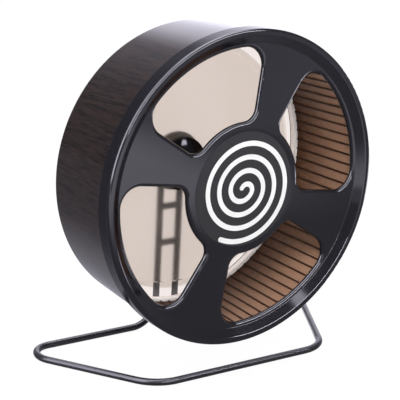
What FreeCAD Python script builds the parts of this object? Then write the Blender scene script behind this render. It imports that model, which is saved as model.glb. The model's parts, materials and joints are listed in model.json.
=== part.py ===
import FreeCAD, Part
import math
import os

V = FreeCAD.Vector

# Rodent exercise wheel on a bent wire stand. Millimetres, +Z up, front towards -Y.
# The origin is on the floor under the middle of the object. Every piece is first built
# about the axle, with Y as its depth behind the plane of the cover's outer edge.
# Angles are in degrees, clockwise from straight up as seen from the front.

# Front cover
cover_radius = 140.0
cover_wall = 2.0
skirt_depth = 13.5
skirt_draft = 0.4
crest_inset = 5.4
crest_rise = 2.2
crest_round = 3.0
rim_round = 2.4
rim_slope_width = 7.5
rim_slope_drop = 5.6
rim_foot_round = 1.0
rim_width = 16.5
face_wall = 3.6
hub_rise = 1.9
hub_margin = 3.0

# Windows of the front cover
window_count = 4
window_turn = 65.9
window_half_angle = 32.3
window_hub_gap = 5.2
window_outer_corner = 17.5
window_inner_corner = 12.0
window_edge_round = 3.2
edge_search_margin = 0.1

# Label and its printed spiral
label_radius = 51.0
label_thickness = 0.3
print_thickness = 0.2
print_stroke = 4.5
print_edge_margin = 1.0
spiral_start_radius = 2.95
spiral_start_angle = -60.0
spiral_turns = 3.736

# Drum
drum_length = 96.0
drum_wall = 2.2
drum_draft = 4.14
drum_rear_round = 3.0
drum_rear_lip = 1.0
drum_cover_gap = 0.25
drum_front_gap = 0.6
rib_count = 90
rib_turn = 1.5
rib_width = 1.5
rib_height = 1.0
rib_front_margin = 4.0

# Back panel
panel_wall = 2.0
panel_skirt_length = 6.8
panel_band = 12.8
panel_dish_depth = 6.0
panel_dish_slant = 3.5
panel_fit_gap = 0.1

# Ball bearing
bearing_bore_radius = 4.0
bearing_radius = 11.0
bearing_width = 7.0
ball_radius = 1.985
ball_count = 7
ball_play = 0.02
race_depth = 0.55
cage_wall = 1.0
cage_width = 5.0
cage_pocket_gap = 0.1
shield_thickness = 0.3
shield_inset = 0.2
shield_gap = 0.3
press_gap = 0.02

# Wheel hub
housing_wall = 3.0
housing_flange_width = 6.0
housing_flange_thickness = 2.5
housing_stop_thickness = 3.0
housing_stop_width = 2.5
clamp_ring_thickness = 2.5
cap_radius = 24.5
cap_wall = 1.5
cap_end_gap = 1.3
cap_flange_gap = 0.3

# Countersunk screws
screw_radius = 1.25
screw_head_radius = 2.4
screw_head_height = 1.4
screw_slot_width = 0.7
screw_slot_depth = 0.6
screw_gap = 0.05
hub_screw_count = 4
hub_screw_turn = 45.0

# Axle
axle_gap = 0.03
spacer_length = 2.0
spacer_radius = 6.0
washer_thickness = 1.6
nut_height = 4.0
hex_across_flats = 13.0
hex_gap = 0.1
bolt_head_height = 5.3
bolt_tip = 0.6
bolt_chamfer = 0.8

# Stand
wire_radius = 3.1
axle_height = 161.2
upright_spacing = 21.0
upright_top = 14.0
upright_bend = 25.0
front_bar_lead = 10.4
base_front_width = 182.0
base_rear_width = 322.0
base_front_corner = 35.0
base_rear_corner = 20.5
rung_upper_drop = 44.4
rung_lower_drop = 79.3
weld_depth = 0.6

# Axle block that clamps the uprights
block_flange_radius = 27.3
block_flange_thickness = 2.5
block_flange_round = 1.0
block_radius = 20.5
block_front_thickness = 7.6
block_rear_thickness = 8.4
block_split_gap = 0.4
block_round = 2.0
block_screw_height = 13.5
block_screw_length = 12.0
groove_gap = 0.05

# Radii and depths that follow from the sizes above
skirt_inner_radius = cover_radius - cover_wall
crest_radius = cover_radius - crest_inset
slope_foot_radius = crest_radius - rim_slope_width
face_depth = rim_slope_drop - crest_rise
hub_depth = face_depth - hub_rise
hub_radius = label_radius + hub_margin
window_outer_radius = cover_radius - rim_width
window_inner_radius = hub_radius + window_hub_gap
label_front = hub_depth - label_thickness

drum_front = cover_wall + drum_front_gap
drum_rear = drum_front + drum_length
drum_front_radius = skirt_inner_radius - drum_cover_gap
drum_slope = math.tan(math.radians(drum_draft))

panel_rear = drum_rear - drum_wall - panel_fit_gap
panel_front = panel_rear - panel_skirt_length
dish_front = panel_front + panel_dish_depth
dish_rear = dish_front + panel_wall

housing_front = dish_front - housing_flange_thickness
bearing_front = housing_front + housing_stop_thickness
bearing_rear = bearing_front + bearing_width
bearing_middle = (bearing_front + bearing_rear) / 2
ball_circle = (bearing_bore_radius + bearing_radius) / 2
inner_shoulder = ball_circle - ball_radius + race_depth
outer_shoulder = ball_circle + ball_radius - race_depth
housing_bore_radius = bearing_radius + press_gap
spigot_radius = housing_bore_radius + housing_wall
flange_radius = spigot_radius + housing_flange_width
clamp_ring_rear = dish_rear + clamp_ring_thickness
hub_screw_circle = spigot_radius + housing_flange_width / 2

block_front = bearing_rear + spacer_length
wire_depth = block_front + block_front_thickness
block_rear = wire_depth + block_rear_thickness
axle_radius = bearing_bore_radius - axle_gap
bolt_seat = block_rear - bolt_head_height
washer_front = bearing_front - washer_thickness
nut_front = washer_front - nut_height
bolt_end = nut_front - bolt_tip
cap_inner_front = bolt_end - cap_end_gap
cap_front = cap_inner_front - cap_wall
cap_inner_radius = flange_radius + panel_fit_gap

wire_drop = axle_height - wire_radius
front_reach = min(-front_bar_lead - wire_radius, -crest_rise)
rear_reach = max(block_rear, wire_depth + wire_radius)
to_floor_frame = V(0, -(front_reach + rear_reach) / 2, axle_height)


def point(radius, angle, depth):
    """Place on a circle about the axle."""
    turn = math.radians(angle)
    return V(radius * math.sin(turn), depth, radius * math.cos(turn))


def corner_arc(before, corner, after, radius):
    """Tangent arc inside a corner, with the points where it starts and ends."""
    to_before = (before - corner).normalize()
    to_after = (after - corner).normalize()
    half_angle = to_before.getAngle(to_after) / 2
    reach = radius / math.tan(half_angle)
    start = corner + to_before * reach
    end = corner + to_after * reach
    bisector = (to_before + to_after).normalize()
    middle = corner + bisector * (radius / math.sin(half_angle) - radius)
    return start, Part.Arc(start, middle, end).toShape(), end


def rounded_path(corners, closed):
    """Straight runs joined by tangent arcs. Each corner is a point and its radius."""
    count = len(corners)
    edges = []
    path_start = path_end = None
    for index, (corner, radius) in enumerate(corners):
        start = end = corner
        arc = None
        between_runs = closed or 0 < index < count - 1
        if between_runs and radius > 0:
            before = corners[index - 1][0]
            after = corners[(index + 1) % count][0]
            start, arc, end = corner_arc(before, corner, after, radius)
        if index == 0:
            path_start = start
        else:
            edges.append(Part.LineSegment(path_end, start).toShape())
        if arc:
            edges.append(arc)
        path_end = end
    if closed:
        edges.append(Part.LineSegment(path_end, path_start).toShape())
    return Part.Wire(edges)


def turned(profile):
    """Solid turned about the axle from corners of (radius, depth, rounding)."""
    corners = [(V(radius, depth, 0), rounding) for radius, depth, rounding in profile]
    face = Part.Face(rounded_path(corners, closed=True))
    return face.revolve(V(0, 0, 0), V(0, 1, 0), 360)


def cylinder(radius, front, rear):
    return Part.makeCylinder(radius, rear - front, V(0, front, 0), V(0, 1, 0))


def ring(inner_radius, outer_radius, front, rear):
    return cylinder(outer_radius, front, rear).cut(cylinder(inner_radius, front, rear))


def hexagon(across_flats, front, rear):
    corner_radius = across_flats / math.sqrt(3)
    corners = [point(corner_radius, 60 * step, front) for step in range(7)]
    return Part.Face(Part.makePolygon(corners)).extrude(V(0, rear - front, 0))


def turned_copies(shape, count):
    """The shape repeated evenly round the axle."""
    copies = []
    for step in range(count):
        copy = shape.copy()
        copy.rotate(V(0, 0, 0), V(0, 1, 0), 360 * step / count)
        copies.append(copy)
    return copies


def screw(x, z, head_depth, tip_depth, gap=0.0):
    """Countersunk screw parallel to the axle. A gap gives the hole that it needs."""
    along = V(0, math.copysign(1, tip_depth - head_depth), 0)
    head_face = V(x, head_depth, z)
    length = abs(tip_depth - head_depth)
    shank = Part.makeCylinder(screw_radius + gap, length, head_face, along)
    head = Part.makeCone(
        screw_head_radius + gap, screw_radius + gap, screw_head_height, head_face, along
    )
    return shank.fuse(head).removeSplitter()


def slotted_screw(x, z, head_depth, tip_depth):
    body = screw(x, z, head_depth, tip_depth)
    slot = Part.makeBox(2 * screw_head_radius, 2 * screw_slot_depth, screw_slot_width)
    slot.translate(V(x - screw_head_radius, head_depth - screw_slot_depth, z - screw_slot_width / 2))
    return body.cut(slot)


def window_corner(centre_radius, rounding, side, outward, depth):
    """Start, middle and end of one rounded window corner, from the arc to the side."""
    inset = math.degrees(math.asin(rounding / centre_radius))
    centre_angle = window_turn + side * (window_half_angle - inset)
    centre = point(centre_radius, centre_angle, depth)
    to_arc = point(outward, centre_angle, 0)
    to_side = point(1, window_turn + side * (window_half_angle + 90), 0)
    between = (to_arc + to_side).normalize()
    return [centre + way * rounding for way in (to_arc, between, to_side)]


def window_prism(front, rear):
    """One window as a prism between two depths."""
    outer_centre = window_outer_radius - window_outer_corner
    inner_centre = window_inner_radius + window_inner_corner
    outer = {}
    inner = {}
    for side in (-1, 1):
        outer[side] = window_corner(outer_centre, window_outer_corner, side, 1, front)
        inner[side] = window_corner(inner_centre, window_inner_corner, side, -1, front)
    outer_middle = point(window_outer_radius, window_turn, front)
    inner_middle = point(window_inner_radius, window_turn, front)
    edges = [
        Part.Arc(outer[-1][0], outer_middle, outer[1][0]).toShape(),
        Part.Arc(*outer[1]).toShape(),
        Part.LineSegment(outer[1][2], inner[1][2]).toShape(),
        Part.Arc(*reversed(inner[1])).toShape(),
        Part.Arc(inner[1][0], inner_middle, inner[-1][0]).toShape(),
        Part.Arc(*inner[-1]).toShape(),
        Part.LineSegment(inner[-1][2], outer[-1][2]).toShape(),
        Part.Arc(*reversed(outer[-1])).toShape(),
    ]
    return Part.Face(Part.Wire(edges)).extrude(V(0, rear - front, 0))


def window_front_edges(body):
    """Edges where the windows break through the cover's front face."""
    edges = []
    for edge in body.Edges:
        reach = edge.LastParameter - edge.FirstParameter
        places = [edge.valueAt(edge.FirstParameter + reach * step / 4) for step in range(5)]
        radii = [math.hypot(place.x, place.z) for place in places]
        beyond_hub = min(radii) > hub_radius + edge_search_margin
        inside_rim = max(radii) < slope_foot_radius - rim_foot_round
        on_front = max(place.y for place in places) < face_depth + edge_search_margin
        if beyond_hub and inside_rim and on_front:
            edges.append(edge)
    return edges


def make_front_cover():
    """Black moulding: skirt, rolled rim, four spokes and a flat hub."""
    body = turned([
        (0, hub_depth, 0),
        (hub_radius, hub_depth, 0),
        (slope_foot_radius, face_depth, rim_foot_round),
        (crest_radius, -crest_rise, crest_round),
        (cover_radius, -crest_rise, rim_round),
        (cover_radius - skirt_draft, skirt_depth, 0),
        (skirt_inner_radius, skirt_depth, 0),
        (skirt_inner_radius, 0, 0),
        (crest_radius, 0, 0),
        (slope_foot_radius, face_depth + face_wall, 0),
        (hub_radius, hub_depth + face_wall, 0),
        (0, hub_depth + face_wall, 0),
    ])
    window = window_prism(hub_depth - face_wall, face_depth + 2 * face_wall)
    body = body.cut(turned_copies(window, window_count)).removeSplitter()
    return body.makeFillet(window_edge_round, window_front_edges(body))


def make_hub_label():
    return cylinder(label_radius, label_front, hub_depth)


def make_spiral_print():
    """Printed stroke along a spiral of half circles about two centres."""
    front = label_front - print_thickness
    half_stroke = print_stroke / 2
    end_radius = label_radius - print_edge_margin - half_stroke
    pitch = (end_radius - spiral_start_radius) / spiral_turns
    half_turns = 2 * spiral_turns
    outer_edges = []
    inner_edges = []
    for step in range(math.ceil(half_turns)):
        start_angle = spiral_start_angle + 180 * step
        sweep = 180 * min(1, half_turns - step)
        centre = point(-pitch / 4, start_angle, front)
        arc_radius = spiral_start_radius + pitch * (step + 0.5) / 2
        for edges, radius in ((outer_edges, arc_radius + half_stroke), (inner_edges, arc_radius - half_stroke)):
            arc = [centre + point(radius, start_angle + sweep * part, 0) for part in (0, 0.5, 1)]
            edges.append(Part.Arc(*arc).toShape())
        end_angle = start_angle + sweep
        end_middle = centre + point(arc_radius, end_angle, 0)
    start_middle = point(spiral_start_radius, spiral_start_angle, front)
    end_cap = round_stroke_end(end_middle, end_angle, half_stroke, 1)
    start_cap = round_stroke_end(start_middle, spiral_start_angle, half_stroke, -1)
    outline = Part.Wire(outer_edges + [end_cap] + inner_edges[::-1] + [start_cap])
    return Part.Face(outline).extrude(V(0, print_thickness, 0))


def round_stroke_end(middle, angle, half_stroke, ahead):
    """Half circle that closes the printed stroke."""
    across = point(half_stroke, angle, 0)
    along = point(half_stroke * ahead, angle + 90, 0)
    return Part.Arc(middle + across, middle + along, middle - across).toShape()


def drum_outer_radius(depth):
    return drum_front_radius - (depth - drum_front) * drum_slope


def drum_inner_radius(depth):
    return drum_outer_radius(depth) - drum_wall


def make_drum():
    """Smoked tread ring, drawn in a little to the rear, with raised ribs across it."""
    lip_depth = drum_rear - drum_wall
    lip_radius = drum_inner_radius(drum_rear) - drum_rear_lip
    body = turned([
        (drum_outer_radius(drum_front), drum_front, 0),
        (drum_outer_radius(drum_rear), drum_rear, drum_rear_round),
        (lip_radius, drum_rear, 0),
        (lip_radius, lip_depth, 0),
        (drum_inner_radius(lip_depth), lip_depth, drum_rear_round - drum_wall),
        (drum_inner_radius(drum_front), drum_front, 0),
    ])
    return body.fuse(turned_copies(make_rib(), rib_count)).removeSplitter()


def make_rib():
    rib_front = drum_front + rib_front_margin
    rib_rear = panel_front - panel_fit_gap
    side = -rib_width / 2
    sunk = drum_wall / 2
    corners = [
        V(side, rib_front, drum_inner_radius(rib_front) + sunk),
        V(side, rib_rear, drum_inner_radius(rib_rear) + sunk),
        V(side, rib_rear, drum_inner_radius(rib_rear) - rib_height),
        V(side, rib_front, drum_inner_radius(rib_front) - rib_height),
    ]
    rib = Part.Face(Part.makePolygon(corners + corners[:1])).extrude(V(rib_width, 0, 0))
    rib.rotate(V(0, 0, 0), V(0, 1, 0), rib_turn)
    return rib


def make_back_panel():
    """Pale dished panel that plugs into the rear of the drum."""
    front_radius = drum_inner_radius(panel_front) - panel_fit_gap
    rear_radius = drum_inner_radius(panel_rear) - panel_fit_gap
    band_radius = front_radius - panel_band
    dish_radius = band_radius - panel_dish_slant
    hole_radius = spigot_radius + panel_fit_gap
    rear_round = drum_rear_round - drum_wall
    panel = turned([
        (hole_radius, dish_front, 0),
        (dish_radius, dish_front, 0),
        (band_radius, panel_front, 0),
        (front_radius, panel_front, 0),
        (rear_radius, panel_rear, rear_round),
        (rear_radius - panel_wall, panel_rear, 0),
        (front_radius - panel_wall, panel_front + panel_wall, 0),
        (band_radius + panel_wall / 2, panel_front + panel_wall, 0),
        (dish_radius + panel_wall / 2, dish_rear, 0),
        (hole_radius, dish_rear, 0),
    ])
    return panel.cut(hub_screw_shapes(screw_gap))


def hub_screw_places():
    for step in range(hub_screw_count):
        place = point(hub_screw_circle, hub_screw_turn + 360 * step / hub_screw_count, 0)
        yield place.x, place.z


def hub_screw_shapes(gap):
    return [screw(x, z, housing_front, clamp_ring_rear, gap) for x, z in hub_screw_places()]


def make_hub_screws():
    screws = [slotted_screw(x, z, housing_front, clamp_ring_rear) for x, z in hub_screw_places()]
    return Part.makeCompound(screws)


def make_bearing_housing():
    """Flanged cup that holds the bearing in the back panel."""
    stop_radius = housing_bore_radius - housing_stop_width
    housing = turned([
        (stop_radius, housing_front, 0),
        (flange_radius, housing_front, 0),
        (flange_radius, dish_front, 0),
        (spigot_radius, dish_front, 0),
        (spigot_radius, bearing_rear, 0),
        (housing_bore_radius, bearing_rear, 0),
        (housing_bore_radius, bearing_front, 0),
        (stop_radius, bearing_front, 0),
    ])
    return housing.cut(hub_screw_shapes(screw_gap))


def make_hub_clamp_ring():
    clamp = ring(spigot_radius + panel_fit_gap, flange_radius, dish_rear, clamp_ring_rear)
    return clamp.cut(hub_screw_shapes(screw_gap))


def make_hub_cap():
    """Domed cap over the axle nut, inside the drum. It fits over the housing's flange."""
    dome_rise = housing_front - cap_flange_gap - cap_inner_front
    dome_radius = (cap_inner_radius ** 2 + dome_rise ** 2) / (2 * dome_rise)
    dome_centre = V(0, cap_inner_front + dome_radius, 0)
    outside = Part.makeSphere(dome_radius + cap_wall, dome_centre)
    inside = Part.makeSphere(dome_radius, dome_centre)
    body = cylinder(cap_radius, cap_front - cap_wall, dish_front).common(outside)
    return body.cut(cylinder(cap_inner_radius, cap_front, dish_front).common(inside))


def ball_groove():
    return Part.makeTorus(ball_circle, ball_radius + ball_play, V(0, bearing_middle, 0), V(0, 1, 0))


def make_bearing_inner_ring():
    return ring(bearing_bore_radius, inner_shoulder, bearing_front, bearing_rear).cut(ball_groove())


def make_bearing_outer_ring():
    return ring(outer_shoulder, bearing_radius, bearing_front, bearing_rear).cut(ball_groove())


def ball_shapes(radius):
    ball = Part.makeSphere(radius, point(ball_circle, 0, bearing_middle))
    return turned_copies(ball, ball_count)


def make_bearing_balls():
    return Part.makeCompound(ball_shapes(ball_radius))


def make_bearing_cage():
    """Ring with a pocket for each ball."""
    front = bearing_middle - cage_width / 2
    rear = bearing_middle + cage_width / 2
    body = ring(ball_circle - cage_wall / 2, ball_circle + cage_wall / 2, front, rear)
    return body.cut(ball_shapes(ball_radius + cage_pocket_gap))


def make_bearing_shields():
    inner = inner_shoulder + shield_gap
    outer = outer_shoulder - press_gap
    front = bearing_front + shield_inset
    rear = bearing_rear - shield_inset
    return Part.makeCompound([
        ring(inner, outer, front, front + shield_thickness),
        ring(inner, outer, rear - shield_thickness, rear),
    ])


def make_axle_bolt():
    """Hexagon bolt: its head sits in the block, its end carries the nut."""
    shank = turned([
        (0, bolt_end, 0),
        (axle_radius - bolt_chamfer, bolt_end, 0),
        (axle_radius, bolt_end + bolt_chamfer, 0),
        (axle_radius, bolt_seat, 0),
        (0, bolt_seat, 0),
    ])
    return shank.fuse(hexagon(hex_across_flats, bolt_seat, block_rear)).removeSplitter()


def make_axle_spacer():
    return ring(bearing_bore_radius, spacer_radius, bearing_rear, block_front)


def make_axle_washer():
    return ring(bearing_bore_radius, spacer_radius, washer_front, bearing_front)


def make_axle_nut():
    return hexagon(hex_across_flats, nut_front, washer_front).cut(
        cylinder(bearing_bore_radius, nut_front, washer_front)
    )


def wire_grooves():
    """Channels in the block for the two uprights."""
    length = block_flange_radius + upright_top + groove_gap
    grooves = []
    for side in (-1, 1):
        foot = V(side * upright_spacing / 2, wire_depth, -block_flange_radius)
        grooves.append(Part.makeCylinder(wire_radius + groove_gap, length, foot, V(0, 0, 1)))
    return grooves


def block_screw_places():
    for z in (-block_screw_height, block_screw_height):
        yield 0, z


def block_screw_tip():
    return block_rear - block_screw_length


def block_screw_holes():
    return [screw(x, z, block_rear, block_screw_tip(), screw_gap) for x, z in block_screw_places()]


def make_axle_block_front():
    rear = wire_depth - block_split_gap / 2
    half = turned([
        (bearing_bore_radius, block_front, 0),
        (block_flange_radius, block_front, block_flange_round),
        (block_flange_radius, block_front + block_flange_thickness, 0),
        (block_radius, rear, 0),
        (bearing_bore_radius, rear, 0),
    ])
    return half.cut(wire_grooves() + block_screw_holes())


def make_axle_block_rear():
    front = wire_depth + block_split_gap / 2
    half = turned([
        (bearing_bore_radius, front, 0),
        (block_radius, front, 0),
        (block_radius, block_rear, block_round),
        (bearing_bore_radius, block_rear, 0),
    ])
    head_pocket = hexagon(hex_across_flats + 2 * hex_gap, bolt_seat, block_rear)
    return half.cut(wire_grooves() + block_screw_holes() + [head_pocket])


def make_block_screws():
    screws = [slotted_screw(x, z, block_rear, block_screw_tip()) for x, z in block_screw_places()]
    return Part.makeCompound(screws)


def make_base_wire():
    """One wire: down an upright, round the base and up the other upright."""
    upright = upright_spacing / 2
    front = base_front_width / 2
    rear = base_rear_width / 2
    right_half = [
        (V(front, -front_bar_lead, -wire_drop), base_front_corner),
        (V(rear, wire_depth, -wire_drop), base_rear_corner),
        (V(upright, wire_depth, -wire_drop), upright_bend),
        (V(upright, wire_depth, upright_top), 0),
    ]
    left_half = [(V(-place.x, place.y, place.z), radius) for place, radius in reversed(right_half)]
    path = rounded_path(left_half + right_half, closed=False)
    section = Part.Wire(Part.Circle(left_half[0][0], V(0, 0, 1), wire_radius).toShape())
    wire = path.makePipeShell([section], True, False)
    expected = math.pi * wire_radius ** 2 * path.Length
    print("base wire volume against section times length:", round(wire.Volume / expected, 4))
    return wire


def make_rung(drop):
    """Cross wire, let into the uprights by the depth of its weld."""
    half_length = upright_spacing / 2 - wire_radius + weld_depth
    return Part.makeCylinder(wire_radius, 2 * half_length, V(-half_length, wire_depth, -drop), V(1, 0, 0))


def make_rung_upper():
    return make_rung(rung_upper_drop)


def make_rung_lower():
    return make_rung(rung_lower_drop)


pieces = {
    "base_wire": make_base_wire,
    "rung_upper": make_rung_upper,
    "rung_lower": make_rung_lower,
    "axle_block_front": make_axle_block_front,
    "axle_block_rear": make_axle_block_rear,
    "block_screws": make_block_screws,
    "axle_bolt": make_axle_bolt,
    "axle_spacer": make_axle_spacer,
    "axle_washer": make_axle_washer,
    "axle_nut": make_axle_nut,
    "bearing_inner_ring": make_bearing_inner_ring,
    "bearing_balls": make_bearing_balls,
    "bearing_cage": make_bearing_cage,
    "bearing_outer_ring": make_bearing_outer_ring,
    "bearing_shields": make_bearing_shields,
    "bearing_housing": make_bearing_housing,
    "hub_clamp_ring": make_hub_clamp_ring,
    "hub_screws": make_hub_screws,
    "hub_cap": make_hub_cap,
    "back_panel": make_back_panel,
    "drum": make_drum,
    "front_cover": make_front_cover,
    "hub_label": make_hub_label,
    "spiral_print": make_spiral_print,
}

os.makedirs("parts", exist_ok=True)
for name, make in pieces.items():
    shape = make()
    shape.translate(to_floor_frame)
    shape.exportStep("parts/" + name + ".step")
    print(name, "valid" if shape.isValid() else "NOT VALID", len(shape.Solids), round(shape.Volume, 1))
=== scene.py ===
import json
import math

import bmesh
import bpy
from mathutils import Matrix, Vector


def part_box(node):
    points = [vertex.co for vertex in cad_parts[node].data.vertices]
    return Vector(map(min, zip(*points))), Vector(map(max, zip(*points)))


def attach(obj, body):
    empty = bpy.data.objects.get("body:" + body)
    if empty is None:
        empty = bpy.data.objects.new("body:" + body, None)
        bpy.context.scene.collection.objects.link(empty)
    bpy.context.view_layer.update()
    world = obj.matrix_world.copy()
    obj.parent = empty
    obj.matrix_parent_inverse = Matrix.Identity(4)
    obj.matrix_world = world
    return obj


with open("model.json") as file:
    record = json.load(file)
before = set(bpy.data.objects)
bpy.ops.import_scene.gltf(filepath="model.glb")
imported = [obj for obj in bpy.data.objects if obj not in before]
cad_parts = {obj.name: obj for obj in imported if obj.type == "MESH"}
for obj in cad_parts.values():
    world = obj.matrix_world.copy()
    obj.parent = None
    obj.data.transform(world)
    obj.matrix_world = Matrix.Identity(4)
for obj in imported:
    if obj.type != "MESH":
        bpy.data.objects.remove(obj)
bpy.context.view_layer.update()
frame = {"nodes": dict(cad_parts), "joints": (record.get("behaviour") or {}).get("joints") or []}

parts = frame["nodes"]

# Camera of the photograph, in degrees, metres and pixels of its 400 pixel frame.
# The aim is a step from the middle of the circle that the cover's outer edge draws.
CAMERA_AZIMUTH = -36.15
CAMERA_ELEVATION = 16.482
CAMERA_ROLL = 2.711
CAMERA_DISTANCE = 1.365686
CAMERA_AIM_STEP = Vector((-0.047119, 0.000201, -0.002953))
FOCAL_PIXELS = 1620
IMAGE_PIXELS = 400
SENSOR_MM = 36.0

# Tint of the white that is seen, and of the white that gloss mirrors
WHITE = (1, 1, 1)
LAVENDER = (0.97, 0.95, 1.10)

# Values of a noise between which a finish changes
NOISE_BAND = (0.3, 0.7)

# Cover: radii between which its front bends, and how far its normal then leans outwards
CREST_RISE = 0.0022
RIM_FOOT = (0.12675, 0.12738)
RIM_CREST = (0.1338, 0.1356)
RIM_EDGE = (0.1376, 0.1400)
RIM_TILT = 0.598
RIM_EDGE_TILT = 0.999
SKIRT_RADIUS = (0.1375, 0.1385)
SKIRT_DEPTH = (0.0005, 0.0015)

# Hub: radius within which its pieces are glossy
HUB_GLOSS_RADIUS = 0.0244

# Drum: its taper, its wall and the ribs on its inside
DRUM_DRAFT = math.radians(4.14)
DRUM_WALL = 0.0022
RIB_COUNT = 90
RIB_TURN = math.radians(1.5)
RIB_FOOT = (0.0001, 0.0004)

# Back panel: widths of its outer zones, and of the passage from one zone to the next
PANEL_BAND_WIDTH = 0.0128
PANEL_SLANT = 0.0035
PANEL_MILKY_WIDTH = 0.0027
ZONE_BLUR = 0.0004

# Distance of the cards that gloss mirrors
CARD_REACH = 1.5

# Places that the frame gives
spin = next(joint for joint in frame["joints"] if joint["name"] == "wheel_spin")
axle = Vector(spin["pos_m"])
rim_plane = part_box("front_cover")[0].y + CREST_RISE
rim_middle = Vector((axle.x, rim_plane, axle.z))
drum_low, drum_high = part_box("drum")
drum_radius = (drum_high.z - drum_low.z) / 2
panel_low, panel_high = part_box("back_panel")
panel_radius = (panel_high.z - panel_low.z) / 2
rung_low, rung_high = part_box("rung_upper")
wire_radius = (rung_high.z - rung_low.z) / 2


def make_camera():
    azimuth = math.radians(CAMERA_AZIMUTH)
    elevation = math.radians(CAMERA_ELEVATION)
    roll = math.radians(CAMERA_ROLL)
    back = Vector((
        math.sin(azimuth) * math.cos(elevation),
        -math.cos(azimuth) * math.cos(elevation),
        math.sin(elevation),
    ))
    level_right = Vector((0, 0, 1)).cross(back).normalized()
    level_up = back.cross(level_right)
    right = math.cos(roll) * level_right + math.sin(roll) * level_up
    up = math.cos(roll) * level_up - math.sin(roll) * level_right
    camera = bpy.data.objects.new("camera", bpy.data.cameras.new("camera"))
    camera.data.sensor_width = SENSOR_MM
    camera.data.lens = FOCAL_PIXELS / IMAGE_PIXELS * SENSOR_MM
    turn = Matrix((right, up, back)).transposed().to_4x4()
    place = rim_middle + CAMERA_AIM_STEP + CAMERA_DISTANCE * back
    camera.matrix_world = Matrix.Translation(place) @ turn
    bpy.context.scene.collection.objects.link(camera)
    bpy.context.scene.camera = camera


class Graph:
    """Short way to write a node tree: each call adds one node and links its inputs."""

    def __init__(self, owner):
        owner.use_nodes = True
        self.tree = owner.node_tree
        self.tree.nodes.clear()

    def add(self, kind, inputs=None, **settings):
        node = self.tree.nodes.new(kind)
        for name, value in settings.items():
            setattr(node, name, value)
        for key, value in (inputs or {}).items():
            self.set(node.inputs[key], value)
        return node

    def set(self, socket, value):
        if isinstance(value, bpy.types.NodeSocket):
            self.tree.links.new(value, socket)
        else:
            socket.default_value = value

    def math(self, operation, first, second=0.0, third=0.0):
        inputs = {0: first, 1: second, 2: third}
        return self.add("ShaderNodeMath", inputs, operation=operation).outputs[0]

    def product(self, first, *others):
        for other in others:
            first = self.math("MULTIPLY", first, other)
        return first

    def vector(self, operation, first, second=(0, 0, 0), output="Vector"):
        inputs = {0: first, 1: second}
        return self.add("ShaderNodeVectorMath", inputs, operation=operation).outputs[output]

    def ramp(self, value, low, high, to_low=0.0, to_high=1.0, form="SMOOTHSTEP"):
        """Smooth step of a value from one level to another."""
        return self.add("ShaderNodeMapRange", {
            "Value": value, "From Min": low, "From Max": high, "To Min": to_low, "To Max": to_high,
        }, interpolation_type=form).outputs[0]

    def line(self, value, low, high, to_low, to_high):
        """Straight run of a value from one level to another."""
        return self.ramp(value, low, high, to_low, to_high, "LINEAR")

    def follow(self, noise, low, high):
        """Level that follows a noise."""
        return self.ramp(noise, *NOISE_BAND, low, high)

    def mix(self, factor, first, second):
        """Blend of two colours, each a socket or red, green and blue."""
        first, second = [
            c if isinstance(c, bpy.types.NodeSocket) else (*c, 1) for c in (first, second)
        ]
        inputs = {0: factor, 6: first, 7: second}
        return self.add("ShaderNodeMix", inputs, data_type="RGBA").outputs[2]

    def blend(self, factor, first, second):
        """Blend of two numbers."""
        inputs = {0: factor, 2: first, 3: second}
        return self.add("ShaderNodeMix", inputs, data_type="FLOAT").outputs[0]

    def mix_shader(self, factor, first, second):
        return self.add("ShaderNodeMixShader", {0: factor, 1: first, 2: second}).outputs[0]

    def axes(self, vector):
        return self.add("ShaderNodeSeparateXYZ", {0: vector}).outputs

    def coordinates(self):
        return self.add("ShaderNodeTexCoord").outputs["Object"]

    def about_axle(self):
        """Radius, angle from straight up, and depth behind the rim's plane."""
        from_axle = self.vector("SUBTRACT", self.coordinates(), axle)
        across = self.vector("MULTIPLY", from_axle, (1, 0, 1))
        radius = self.vector("LENGTH", across, output="Value")
        axes = self.axes(from_axle)
        angle = self.math("ARCTAN2", axes["X"], axes["Z"])
        depth = self.math("ADD", axes["Y"], axle.y - rim_plane)
        return radius, angle, depth

    def noise(self, vector, scale, detail=2.0, roughness=0.5):
        return self.add("ShaderNodeTexNoise", {
            "Vector": vector, "Scale": scale, "Detail": detail, "Roughness": roughness,
        }).outputs["Fac"]

    def specks(self, vector, scale, size):
        """1 on small scattered dots, else 0."""
        full = 0.6
        cells = self.add("ShaderNodeTexVoronoi", {"Vector": vector, "Scale": scale})
        return self.ramp(cells.outputs["Distance"], size * full, size, 1.0, 0.0)

    def hairlines(self, vector, spacing):
        """Thin uneven lines along X."""
        pull = 0.03
        stretch = (pull / spacing, 1 / spacing, 1 / spacing)
        return self.noise(self.vector("MULTIPLY", vector, stretch), 1.0, detail=3.0, roughness=0.6)

    def bump(self, height, strength, distance):
        inputs = {"Height": height, "Strength": strength, "Distance": distance}
        return self.add("ShaderNodeBump", inputs).outputs[0]

    def surface(self, shader):
        self.add("ShaderNodeOutputMaterial", {"Surface": shader})

    def principled(self, **inputs):
        names = {"ior": "IOR", "specular": "Specular IOR Level"}
        return self.add("ShaderNodeBsdfPrincipled", {
            names.get(name, name.replace("_", " ").title()): value
            for name, value in inputs.items()
        }).outputs[0]


def new_material(name):
    material = bpy.data.materials.new(name)
    return material, Graph(material)


def scaled(colour, factor):
    return [channel * factor for channel in colour]


def dress(material, *names):
    for name in names:
        mesh = parts[name].data
        mesh.materials.clear()
        mesh.materials.append(material)


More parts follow.
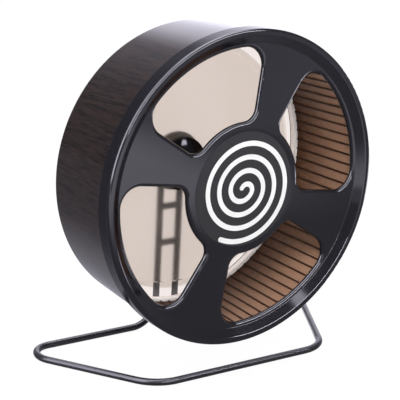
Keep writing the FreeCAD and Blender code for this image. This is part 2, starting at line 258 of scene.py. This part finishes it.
def rim_normal(graph, radius):
    """Normal of the rim's front by its radius: slope, crest and rounded edge, so that highlights
    run smooth. Elsewhere it is the mesh's own normal."""
    front_facing, foot_blur = (-0.06, -0.12), 0.0001
    geometry = graph.add("ShaderNodeNewGeometry").outputs
    foot = graph.line(radius, *RIM_FOOT, 0.0, -RIM_TILT)
    crest = graph.line(radius, *RIM_CREST, 0.0, RIM_TILT)
    edge = graph.line(radius, *RIM_EDGE, 0.0, RIM_EDGE_TILT)
    tilt = graph.math("ADD", graph.math("ADD", foot, crest), edge)
    level = graph.math("SQRT", graph.math("SUBTRACT", 1.0, graph.product(tilt, tilt)))
    from_axle = graph.vector("SUBTRACT", geometry["Position"], axle)
    outward = graph.vector("NORMALIZE", graph.vector("MULTIPLY", from_axle, (1, 0, 1)))
    across = graph.add("ShaderNodeVectorMath", {0: outward, 3: tilt}, operation="SCALE").outputs[0]
    along = graph.add("ShaderNodeCombineXYZ", {1: graph.product(level, -1.0)}).outputs[0]
    faces_front = graph.ramp(graph.axes(geometry["Normal"])["Y"], *front_facing)
    beyond_foot = graph.ramp(radius, RIM_FOOT[0] - foot_blur, RIM_FOOT[0] + foot_blur)
    on_rim = graph.product(faces_front, beyond_foot)
    return graph.mix(on_rim, geometry["Normal"], graph.vector("ADD", across, along))


def gloss_black(name, colour, roughness, shine=0.5, matt_radius=1.0):
    """Gloss moulding: cloudy gloss, fine hairlines and a little dust. The cover's skirt shines
    less, and beyond a radius the moulding is matt."""
    dust_grey, dust_cover = (0.08, 0.08, 0.085), 0.5
    line_band, line_roughness = (0.62, 0.72), 0.015
    skirt_shine, matt_shine, matt_roughness = 0.15, 0.05, 0.6
    material, graph = new_material(name)
    place = graph.coordinates()
    cloud = graph.noise(place, scale=22.0, detail=4.0)
    dust = graph.specks(place, scale=160.0, size=0.05)
    tone = graph.mix(cloud, scaled(colour, 0.75), scaled(colour, 1.25))
    tone = graph.mix(graph.product(dust, dust_cover), tone, dust_grey)
    lines = graph.ramp(graph.hairlines(place, spacing=0.0012), *line_band)
    gloss = graph.follow(cloud, low=roughness * 0.8, high=roughness * 1.2)
    gloss = graph.math("MULTIPLY_ADD", lines, line_roughness, gloss)
    radius, _, depth = graph.about_axle()
    matt = graph.ramp(radius, matt_radius - ZONE_BLUR, matt_radius)
    gloss = graph.blend(matt, gloss, matt_roughness)
    skirt = graph.product(graph.ramp(radius, *SKIRT_RADIUS), graph.ramp(depth, *SKIRT_DEPTH))
    shine = graph.blend(matt, graph.blend(skirt, shine, skirt_shine), matt_shine)
    normal = rim_normal(graph, radius)
    graph.surface(graph.principled(
        base_color=tone, roughness=gloss, normal=normal, ior=1.5, specular=shine,
    ))
    return material


def satin(name, colour, roughness, grain, shine=0.5):
    """Satin surface with a fine grain and a cloudy tone."""
    material, graph = new_material(name)
    place = graph.coordinates()
    cloud = graph.noise(place, scale=60.0, detail=4.0)
    tone = graph.mix(cloud, scaled(colour, 0.9), scaled(colour, 1.08))
    fine = graph.noise(place, scale=1 / grain, detail=2.0)
    sheen = graph.follow(fine, low=roughness * 0.9, high=roughness * 1.1)
    normal = graph.bump(fine, strength=0.15, distance=grain / 4)
    graph.surface(graph.principled(
        base_color=tone, roughness=sheen, normal=normal, specular=shine,
    ))
    return material


def powder_coat():
    """Black powder coat on the wire, with orange peel and rubbed places."""
    coat_black, rubbed_black = (0.006, 0.006, 0.008), (0.014, 0.014, 0.018)
    material, graph = new_material("wire_black")
    place = graph.coordinates()
    cloud = graph.noise(place, scale=35.0, detail=4.0)
    tone = graph.mix(cloud, coat_black, rubbed_black)
    gloss = graph.follow(cloud, low=0.28, high=0.36)
    peel = graph.noise(place, scale=400.0, detail=2.0)
    normal = graph.bump(peel, strength=0.012, distance=0.0004)
    graph.surface(graph.principled(base_color=tone, roughness=gloss, normal=normal, ior=1.5))
    return material


def metal(name, colour, roughness):
    """Turned metal with fine tool marks and stains."""
    material, graph = new_material(name)
    place = graph.coordinates()
    marks = graph.hairlines(place, spacing=0.0003)
    stain = graph.noise(place, scale=120.0, detail=4.0)
    tone = graph.mix(stain, scaled(colour, 0.75), scaled(colour, 1.05))
    gloss = graph.follow(marks, low=roughness * 0.7, high=roughness * 1.4)
    normal = graph.bump(marks, strength=0.1, distance=0.0001)
    graph.surface(graph.principled(
        base_color=tone, roughness=gloss, metallic=1.0, normal=normal,
    ))
    return material


def smoked_plastic():
    """Smoked drum. Outside it is near black and streaky, and its ribs show faintly. Inside it is
    brown, with painted light that makes it lighter towards the front, painted shade that makes it
    darker towards the back, and ribs painted darker as their shade."""
    # Inside browns with painted light and shade: the front colour is the lit brown, the rear
    # colour the shaded brown
    rear_brown_shaded, front_brown_lit = (0.052, 0.017, 0.004), (0.455, 0.265, 0.176)
    # The ribs' darker brown is painted shade
    rib_brown_shaded = (0.030, 0.011, 0.004)
    smoke_black, streak_black = (0.0142, 0.0076, 0.0064), (0.0030, 0.0015, 0.0013)
    grain_stretch, streak_stretch = (1.0, 0.2, 1.0), (1.0, 0.06, 1.0)
    grain_cover, rib_cover = 0.35, 0.45
    rib_band, patch_band, streak_band = (0.6, 1.0), (0.35, 0.65), (0.42, 0.66)
    outer_shine, inner_shine = 0.5, 0.15
    material, graph = new_material("drum_smoke")
    place = graph.coordinates()
    radius, angle, depth = graph.about_axle()

    front_depth = drum_low.y - rim_plane
    rear_depth = drum_high.y - rim_plane
    slope = math.tan(DRUM_DRAFT)
    drawn_in = graph.math("MULTIPLY_ADD", depth, slope, -front_depth * slope)
    inset = graph.math("SUBTRACT", drum_radius, graph.math("ADD", radius, drawn_in))
    inside = graph.ramp(inset, DRUM_WALL * 0.4, DRUM_WALL * 0.6)
    rib = graph.ramp(inset, *[DRUM_WALL + step for step in RIB_FOOT])

    cloud = graph.noise(place, scale=30.0, detail=4.0)
    grain = graph.noise(graph.vector("MULTIPLY", place, grain_stretch), scale=900.0, detail=2.0)
    # Painted light and shade: the tread is lit towards the front and shaded towards the back,
    # standing in for light that comes in through the windows
    ahead = graph.ramp(depth, rear_depth, front_depth)
    ahead = graph.math("MULTIPLY_ADD", graph.math("SUBTRACT", grain, 0.5), grain_cover, ahead)
    tread = graph.mix(rib, graph.mix(ahead, rear_brown_shaded, front_brown_lit), rib_brown_shaded)

    turn = graph.math("MULTIPLY_ADD", angle, RIB_COUNT, -RIB_COUNT * RIB_TURN)
    seen_rib = graph.ramp(graph.math("COSINE", turn), *rib_band)
    patchy = graph.product(graph.ramp(cloud, *patch_band), rib_cover)
    stretched = graph.vector("MULTIPLY", place, streak_stretch)
    drawn = graph.noise(stretched, scale=420.0, detail=3.0, roughness=0.6)
    streak = graph.math("MULTIPLY_ADD", seen_rib, patchy, graph.ramp(drawn, *streak_band))
    outer = graph.mix(streak, smoke_black, streak_black)

    tone = graph.mix(inside, outer, tread)
    outer_gloss = graph.follow(cloud, low=0.10, high=0.16)
    inner_gloss = graph.follow(cloud, low=0.40, high=0.50)
    gloss = graph.blend(inside, outer_gloss, inner_gloss)
    shine = graph.blend(inside, outer_shine, inner_shine)
    normal = graph.bump(drawn, strength=0.02, distance=0.0002)
    graph.surface(graph.principled(
        base_color=tone, roughness=gloss, normal=normal, ior=1.49, specular=shine,
    ))
    return material


def panel_plastic():
    """Back panel: frosted beige dish, tinted slant, clear polished band and milky white edge."""
    frost_tones = (0.675, 0.587, 0.535), (0.720, 0.627, 0.572)
    speck_brown, speck_cover = (0.25, 0.18, 0.14), 0.45
    slant_tint = (0.81, 0.755, 0.72)
    clear_tints = (0.945, 0.905, 0.89), (0.965, 0.925, 0.91)
    milky_tones = (0.95, 0.925, 0.91), (0.98, 0.96, 0.95)
    cloudy_share, haze_share, matt_share = 0.04, 0.05, 0.5
    bending, mirror_roughness = 1.4, 0.05
    material, graph = new_material("panel_clear")
    place = graph.coordinates()
    radius, _, _ = graph.about_axle()

    band_edge = panel_radius - PANEL_BAND_WIDTH
    slant_edge = band_edge - PANEL_SLANT
    milky_edge = panel_radius - PANEL_MILKY_WIDTH
    slant = graph.ramp(radius, slant_edge - ZONE_BLUR, slant_edge)
    band = graph.ramp(radius, band_edge - ZONE_BLUR / 2, band_edge + ZONE_BLUR / 2)
    milky = graph.ramp(radius, milky_edge - ZONE_BLUR, milky_edge)

    cloud = graph.noise(place, scale=9.0, detail=3.0)
    specks = graph.specks(place, scale=26.0, size=0.022)
    frost = graph.mix(cloud, *frost_tones)
    frost = graph.mix(graph.product(specks, speck_cover), frost, speck_brown)
    gloss = graph.follow(cloud, low=0.21, high=0.26)
    glassy = graph.principled(
        base_color=frost, roughness=gloss, transmission_weight=1.0, ior=bending,
    )
    cloudy = graph.add("ShaderNodeBsdfTranslucent", {"Color": frost}).outputs[0]
    dish = graph.mix_shader(cloudy_share, glassy, cloudy)

    tint = graph.mix(band, slant_tint, graph.mix(cloud, *clear_tints))
    clear = graph.add("ShaderNodeBsdfTransparent", {"Color": tint}).outputs[0]
    mirror = graph.add("ShaderNodeBsdfGlossy", {"Roughness": mirror_roughness}).outputs[0]
    backfacing = graph.add("ShaderNodeNewGeometry").outputs["Backfacing"]
    fresnel = graph.add("ShaderNodeFresnel", {"IOR": bending}).outputs[0]
    mirrored = graph.product(fresnel, graph.math("SUBTRACT", 1.0, backfacing))
    polished = graph.mix_shader(mirrored, clear, mirror)

    white = graph.mix(cloud, *milky_tones)
    through = graph.add("ShaderNodeBsdfTranslucent", {"Color": white}).outputs[0]
    matt = graph.add("ShaderNodeBsdfDiffuse", {"Color": white}).outputs[0]
    milk = graph.mix_shader(matt_share, through, matt)
    outer = graph.mix_shader(graph.blend(milky, haze_share, 1.0), polished, milk)
    graph.surface(graph.mix_shader(slant, dish, outer))
    return material


def dress_parts():
    dress(gloss_black("cover_black", (0.0075, 0.0073, 0.0105), roughness=0.09), "front_cover")
    hub_black = gloss_black(
        "hub_black", (0.006, 0.0055, 0.0055), roughness=0.10, shine=0.18,
        matt_radius=HUB_GLOSS_RADIUS,
    )
    dress(hub_black, "hub_cap", "bearing_housing", "hub_clamp_ring")
    dress(powder_coat(), "base_wire", "rung_upper", "rung_lower")
    block_black = satin("block_black", (0.016, 0.0095, 0.007), roughness=0.42, grain=0.0006)
    dress(block_black, "axle_block_front", "axle_block_rear")
    label_grey = satin(
        "label_grey", (0.0195, 0.0195, 0.0205), roughness=0.5, grain=0.0005, shine=0.25,
    )
    dress(label_grey, "hub_label")
    dress(satin("print_white", (0.92, 0.92, 0.92), roughness=0.5, grain=0.0005), "spiral_print")
    dress(metal("bolt_steel", (0.55, 0.55, 0.56), roughness=0.32),
          "axle_bolt", "axle_nut", "axle_washer", "axle_spacer", "hub_screws", "block_screws")
    dress(metal("bearing_steel", (0.7, 0.7, 0.7), roughness=0.15),
          "bearing_inner_ring", "bearing_outer_ring", "bearing_balls", "bearing_shields")
    dress(metal("cage_brass", (0.72, 0.55, 0.28), roughness=0.3), "bearing_cage")
    dress(smoked_plastic(), "drum")
    dress(panel_plastic(), "back_panel")


def make_weld(node, side):
    """Bead where a rung meets an upright: a rippled ring along the line where the wires cross."""
    steps, sides = 48, 10
    bead = 0.22 * wire_radius
    bead_length, bead_lean = 0.7, 0.2
    ripple_height, ripple_count, ripple_shift = 0.18, 9, 1.3
    weld_inset = 0.0006
    low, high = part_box(node)
    middle = (low + high) / 2
    upright_x = side * ((high.x - low.x) / 2 - weld_inset + wire_radius)
    mesh = bmesh.new()
    rings = []
    for step in range(steps):
        turn = math.tau * step / steps
        across, rise = math.cos(turn), math.sin(turn)
        centre = Vector((
            upright_x - side * wire_radius * abs(rise),
            middle.y + wire_radius * across,
            middle.z + wire_radius * rise,
        ))
        outward = Vector((-side * abs(rise), across, rise)).normalized()
        along = Vector((side * bead_length, 0, 0)) - outward * bead_lean
        size = bead * (1 + ripple_height * math.sin(ripple_count * turn + ripple_shift * side))
        ring = []
        for corner in range(sides):
            angle = math.tau * corner / sides
            from_centre = math.cos(angle) * outward + math.sin(angle) * along
            ring.append(mesh.verts.new(centre + size * from_centre))
        rings.append(ring)
    for step in range(steps):
        ring, following = rings[step], rings[(step + 1) % steps]
        for corner in range(sides):
            beside = (corner + 1) % sides
            mesh.faces.new((ring[corner], ring[beside], following[beside], following[corner]))
    bmesh.ops.recalc_face_normals(mesh, faces=mesh.faces)
    name = "weld_" + node.split("_")[1] + ("_right" if side > 0 else "_left")
    data = bpy.data.meshes.new(name)
    mesh.to_mesh(data)
    mesh.free()
    data.shade_smooth()
    data.materials.append(bpy.data.materials["wire_black"])
    weld = bpy.data.objects.new(name, data)
    bpy.context.scene.collection.objects.link(weld)
    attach(weld, "stand")


def make_welds():
    for node in ("rung_upper", "rung_lower"):
        for side in (-1, 1):
            make_weld(node, side)


def kinds_of_sight(graph):
    """Two numbers: 1 for what is seen, straight on or through clear plastic, and 1 for what gloss
    mirrors, else 0."""
    path = graph.add("ShaderNodeLightPath").outputs
    seen = graph.math("MAXIMUM", path["Is Camera Ray"], path["Is Transmission Ray"])
    return seen, path["Is Glossy Ray"]


def make_world():
    """White where it is seen. It lights the object plainly, most from behind. Gloss mirrors a dim
    room, a bright backdrop behind on the right and a bright field overhead."""
    room_light, backdrop_light = 0.30, 3.8
    room_mirrored, backdrop_mirrored, overhead_mirrored = 0.28, 1.3, 9.0
    haze_mirrored = (-0.1, 0.22)
    # Parts of a direction between which a field sets in
    lit_behind = (0.1, 0.5)
    backdrop_behind, backdrop_right, haze_right = (0.3, 0.6), (0.2, 0.46), (-0.4, 0.2)
    overhead_front, overhead_slant, overhead_back = (-0.38, -0.28), -0.35, (0.3, 0.15)
    overhead_right, overhead_foot = (0.66, 0.5), (-0.05, 0.05)
    world = bpy.data.worlds.new("studio")
    bpy.context.scene.world = world
    graph = Graph(world)
    seen, glossy = kinds_of_sight(graph)
    way = graph.axes(graph.add("ShaderNodeTexCoord").outputs["Generated"])
    behind = graph.ramp(way["Y"], *backdrop_behind)
    backdrop = graph.ramp(way["X"], *backdrop_right, 0.0, backdrop_mirrored)
    haze = graph.ramp(way["X"], *haze_right, *haze_mirrored)
    mirrored = graph.math("MULTIPLY_ADD", behind, graph.math("ADD", backdrop, haze), room_mirrored)
    slanted = graph.math("MULTIPLY_ADD", way["X"], overhead_slant, way["Y"])
    overhead = graph.product(
        graph.ramp(slanted, *overhead_front),
        graph.ramp(way["Y"], *overhead_back),
        graph.ramp(way["X"], *overhead_right),
        graph.ramp(way["Z"], *overhead_foot),
    )
    mirrored = graph.math("MULTIPLY_ADD", overhead, overhead_mirrored, mirrored)
    light = graph.ramp(way["Y"], *lit_behind, room_light, backdrop_light)
    strength = graph.blend(seen, graph.blend(glossy, light, mirrored), 1.0)
    colour = graph.mix(graph.math("SUBTRACT", glossy, seen), WHITE, LAVENDER)
    background = graph.add("ShaderNodeBackground", {"Color": colour, "Strength": strength})
    graph.add("ShaderNodeOutputWorld", {"Surface": background.outputs[0]})


def mirrored_floor(graph):
    """Brightness of the floor where gloss mirrors it: pale ahead on the left, close to the object
    on the right and far behind on the right, else dim."""
    ahead_levels, pale_ahead = (0.34, 0.7), 1.6
    near_levels, far_levels = (0.46, 2.0), (0.25, 1.7)
    foot = (0.05, 0.1, 0)
    # Metres between which a field sets in
    pale_back, pale_front, pale_right = (-0.32, -0.56), (-1.0, -0.85), (0.50, 0.28)
    ahead_far, behind_start = (-0.6, -0.9), (-0.045, -0.015)
    near_left, near_right = (0.02, 0.1), (0.21, 0.16)
    far_start, far_reach, far_right = (0.16, 0.34), (1.2, 2.2), (0.3, 1.0)
    place = graph.coordinates()
    axes = graph.axes(place)
    pale = graph.product(
        graph.ramp(axes["Y"], *pale_back),
        graph.ramp(axes["X"], *pale_right),
        graph.ramp(axes["Y"], *pale_front),
    )
    far_ahead = graph.ramp(axes["Y"], *ahead_far, *ahead_levels)
    ahead = graph.math("MULTIPLY_ADD", pale, pale_ahead, far_ahead)
    from_foot = graph.vector("LENGTH", graph.vector("SUBTRACT", place, foot), output="Value")
    strip = graph.product(graph.ramp(axes["X"], *near_left), graph.ramp(axes["X"], *near_right))
    near = graph.blend(strip, *near_levels)
    corner = graph.product(graph.ramp(from_foot, *far_reach), graph.ramp(axes["X"], *far_right))
    far = graph.blend(corner, *far_levels)
    behind = graph.blend(graph.ramp(from_foot, *far_start), near, far)
    return graph.blend(graph.ramp(axes["Y"], *behind_start), ahead, behind)


def make_floor():
    """White table top that fades into the white backdrop and keeps a soft shadow."""
    reach = 6.0
    floor_grey, seen_level, seen_share = (0.5, 0.5, 0.5, 1), 1.02, 0.96
    mesh = bpy.data.meshes.new("floor")
    corners = [(-reach, -reach, 0), (reach, -reach, 0), (reach, reach, 0), (-reach, reach, 0)]
    mesh.from_pydata(corners, [], [(0, 1, 2, 3)])
    floor = bpy.data.objects.new("floor", mesh)
    bpy.context.scene.collection.objects.link(floor)
    material, graph = new_material("floor_white")
    seen, glossy = kinds_of_sight(graph)
    diffuse = graph.add("ShaderNodeBsdfDiffuse", {"Color": floor_grey}).outputs[0]
    glow = graph.add("ShaderNodeEmission", {
        "Color": graph.mix(seen, LAVENDER, WHITE),
        "Strength": graph.blend(seen, mirrored_floor(graph), seen_level),
    }).outputs[0]
    share = graph.blend(seen, glossy, seen_share)
    graph.surface(graph.mix_shader(share, diffuse, glow))
    mesh.materials.append(material)


def make_light(name, place, aim, size, radiance):
    """Soft box of a given brightness, where 1 is white paper in plain light."""
    width, height = size
    light = bpy.data.lights.new(name, "AREA")
    light.shape = "RECTANGLE"
    light.size, light.size_y = width, height
    light.energy = math.pi * width * height * radiance
    lamp = bpy.data.objects.new(name, light)
    lamp.location = place
    lamp.rotation_euler = (Vector(aim) - Vector(place)).to_track_quat("-Z", "Y").to_euler()
    lamp.visible_camera = False
    bpy.context.scene.collection.objects.link(lamp)
    return lamp


def make_card(name, way, middle, size, radiance):
    """Pale card that gloss mirrors and that lights nothing. It faces a point."""
    place = middle + CARD_REACH * Vector(way).normalized()
    card = make_light(name, place, middle, size, radiance)
    card.data.color = LAVENDER
    card.visible_diffuse = False
    card.visible_transmission = False
    return card


def make_strip(name, ways, width, radiance):
    """Curved pale card that gloss mirrors and that lights nothing. Its middle line runs through
    directions from the rim's middle, each an angle to the right of straight ahead and an angle
    upwards."""
    line = []
    for azimuth, elevation in ways:
        turn, rise = math.radians(azimuth), math.radians(elevation)
        line.append(Vector((
            math.sin(turn) * math.cos(rise),
            -math.cos(turn) * math.cos(rise),
            math.sin(rise),
        )))
    corners = []
    for step, way in enumerate(line):
        along = line[min(step + 1, len(line) - 1)] - line[max(step - 1, 0)]
        across = along.cross(way).normalized() * width / 2
        place = rim_middle + CARD_REACH * way
        corners += [place - across, place + across]
    faces = [(n, n + 1, n + 3, n + 2) for n in range(0, len(corners) - 2, 2)]
    mesh = bpy.data.meshes.new(name)
    mesh.from_pydata(corners, [], faces)
    card = bpy.data.objects.new(name, mesh)
    bpy.context.scene.collection.objects.link(card)
    card.visible_camera = False
    card.visible_diffuse = False
    card.visible_transmission = False
    card.visible_shadow = False
    material, graph = new_material(name)
    glow = graph.add("ShaderNodeEmission", {"Color": (*LAVENDER, 1), "Strength": radiance})
    graph.surface(glow.outputs[0])
    mesh.materials.append(material)


def make_lights():
    """Two soft boxes that light the object, and the cards that its gloss mirrors."""
    key = make_light("key_left", (-0.9, -1.3, 1.3), aim=axle, size=(0.7, 0.7), radiance=16.0)
    key.visible_glossy = False
    make_light("top", (0.2, 0.4, 1.7), aim=axle, size=(1.0, 1.0), radiance=4.0)
    ways = [(43, 24.6), (36, 26.5), (24, 27.5), (12, 25.5), (4, 22), (-4, 15), (-9, 6)]
    make_strip("bank_front", ways, width=0.22, radiance=28.0)
    make_card("bank_top", (-0.04, 0.49, 0.87), rim_middle, size=(0.8, 0.15), radiance=9.0)
    slope_low_right = rim_middle + Vector((0.069, 0, -0.112))
    make_card("flash", (0.013, -0.785, 0.620), slope_low_right, size=(0.16, 0.10), radiance=6.0)
    floor_right = make_card("floor_right", (0, 0, -1), axle, size=(0.32, 0.42), radiance=5.0)
    floor_right.location = (0.66, -0.2, 0.004)


bpy.context.scene.view_settings.view_transform = "Standard"
make_camera()
make_world()
make_floor()
make_lights()
dress_parts()
make_welds()
